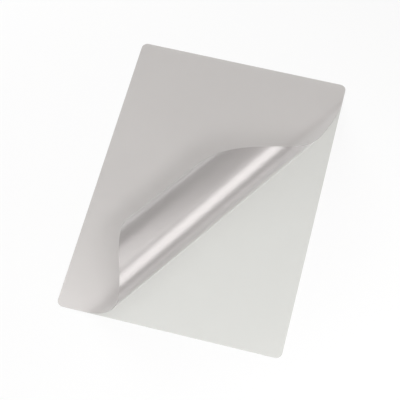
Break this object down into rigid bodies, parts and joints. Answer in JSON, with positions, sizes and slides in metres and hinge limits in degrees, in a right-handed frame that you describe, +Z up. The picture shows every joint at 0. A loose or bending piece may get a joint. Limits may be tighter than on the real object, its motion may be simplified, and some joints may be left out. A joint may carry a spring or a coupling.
{
  "type": "laminating pouch",
  "caption": "Clear satin laminating pouch of two films sealed along one short edge, with one corner of the front film lifted and rolled back.",
  "frame": {"origin": "centre of the pouch's underside, which lies on the floor", "axes": "+X along the short edge to the right, +Y along the long edge towards the sealed short edge, +Z up out of the flat pouch"},
  "size_m": [0.216, 0.303, 0.0613],
  "materials": {
    "back_film": "satin",
    "front_film": "satin"
  },
  "bodies": {
    "root": {"back_film": "back_film", "front_film": "front_film"}
  },
  "joints": []
}
